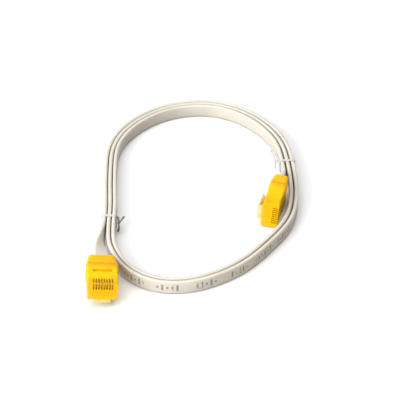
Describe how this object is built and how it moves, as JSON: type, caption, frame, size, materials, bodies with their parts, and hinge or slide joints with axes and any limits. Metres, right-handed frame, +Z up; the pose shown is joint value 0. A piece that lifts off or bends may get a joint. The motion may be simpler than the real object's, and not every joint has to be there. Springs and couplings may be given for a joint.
{
  "type": "ethernet patch cable",
  "caption": "Flat ribbon network cable in an open coil, held by wire ties, with a clear yellow modular plug and a ribbed boot on each end.",
  "frame": {"origin": "on the surface the cable lies on, under the middle of the box round the two plugs and boots", "axes": "+Z up; +Y away from the viewer along the coil's long way, so both plugs' mating faces look towards -Y; +X to the right, from plug a to plug b"},
  "size_m": [0.0851, 0.1426, 0.0129],
  "materials": {
    "plug_plastic": "translucent, moulded",
    "latch_plastic": "translucent, moulded",
    "boot_plastic": "satin",
    "bar_plastic": "translucent, moulded",
    "contact_gold": "gold plated",
    "ribbon_jacket": "satin",
    "tie_film": "clear film over a thin wire",
    "wire_white_orange": "satin",
    "wire_orange": "satin",
    "wire_white_green": "satin",
    "wire_blue": "satin",
    "wire_white_blue": "satin",
    "wire_green": "satin",
    "wire_white_brown": "satin",
    "wire_brown": "satin"
  },
  "bodies": {
    "cable": {"housing_a": "plug_plastic", "load_bar_a": "bar_plastic", "strain_wedge_a": "plug_plastic", "boot_a": "boot_plastic", "contact_a_1": "contact_gold", "contact_a_2": "contact_gold", "contact_a_3": "contact_gold", "contact_a_4": "contact_gold", "contact_a_5": "contact_gold", "contact_a_6": "contact_gold", "contact_a_7": "contact_gold", "contact_a_8": "contact_gold", "conductor_a_1": "wire_white_orange", "conductor_a_2": "wire_orange", "conductor_a_3": "wire_white_green", "conductor_a_4": "wire_blue", "conductor_a_5": "wire_white_blue", "conductor_a_6": "wire_green", "conductor_a_7": "wire_white_brown", "conductor_a_8": "wire_brown", "cable_lead_a": "ribbon_jacket", "housing_b": "plug_plastic", "load_bar_b": "bar_plastic", "strain_wedge_b": "plug_plastic", "boot_b": "boot_plastic", "contact_b_1": "contact_gold", "contact_b_2": "contact_gold", "contact_b_3": "contact_gold", "contact_b_4": "contact_gold", "contact_b_5": "contact_gold", "contact_b_6": "contact_gold", "contact_b_7": "contact_gold", "contact_b_8": "contact_gold", "conductor_b_1": "wire_white_orange", "conductor_b_2": "wire_orange", "conductor_b_3": "wire_white_green", "conductor_b_4": "wire_blue", "conductor_b_5": "wire_white_blue", "conductor_b_6": "wire_green", "conductor_b_7": "wire_white_brown", "conductor_b_8": "wire_brown", "cable_lead_b": "ribbon_jacket", "cable_coil": "ribbon_jacket", "tie_left_band": "tie_film", "tie_left_tails": "tie_film", "tie_right_band": "tie_film", "tie_right_tails": "tie_film"},
    "latch_a": {"latch_a": "latch_plastic"},
    "latch_b": {"latch_b": "latch_plastic"}
  },
  "joints": [
    {"name": "latch_a_press", "type": "hinge", "parent": "cable", "child": "latch_a", "pos_m": [-0.03297, -0.03592, 0.00396], "axis": [0.9937, 0.0706, -0.0868], "range_deg": [0, 4.5], "stiffness_Nm_per_rad": 0.4},
    {"name": "latch_b_press", "type": "hinge", "parent": "cable", "child": "latch_b", "pos_m": [0.02876, 0.0173, 0.00679], "axis": [-0.0849, 0.0199, -0.9962], "range_deg": [0, 4.5], "stiffness_Nm_per_rad": 0.4}
  ]
}
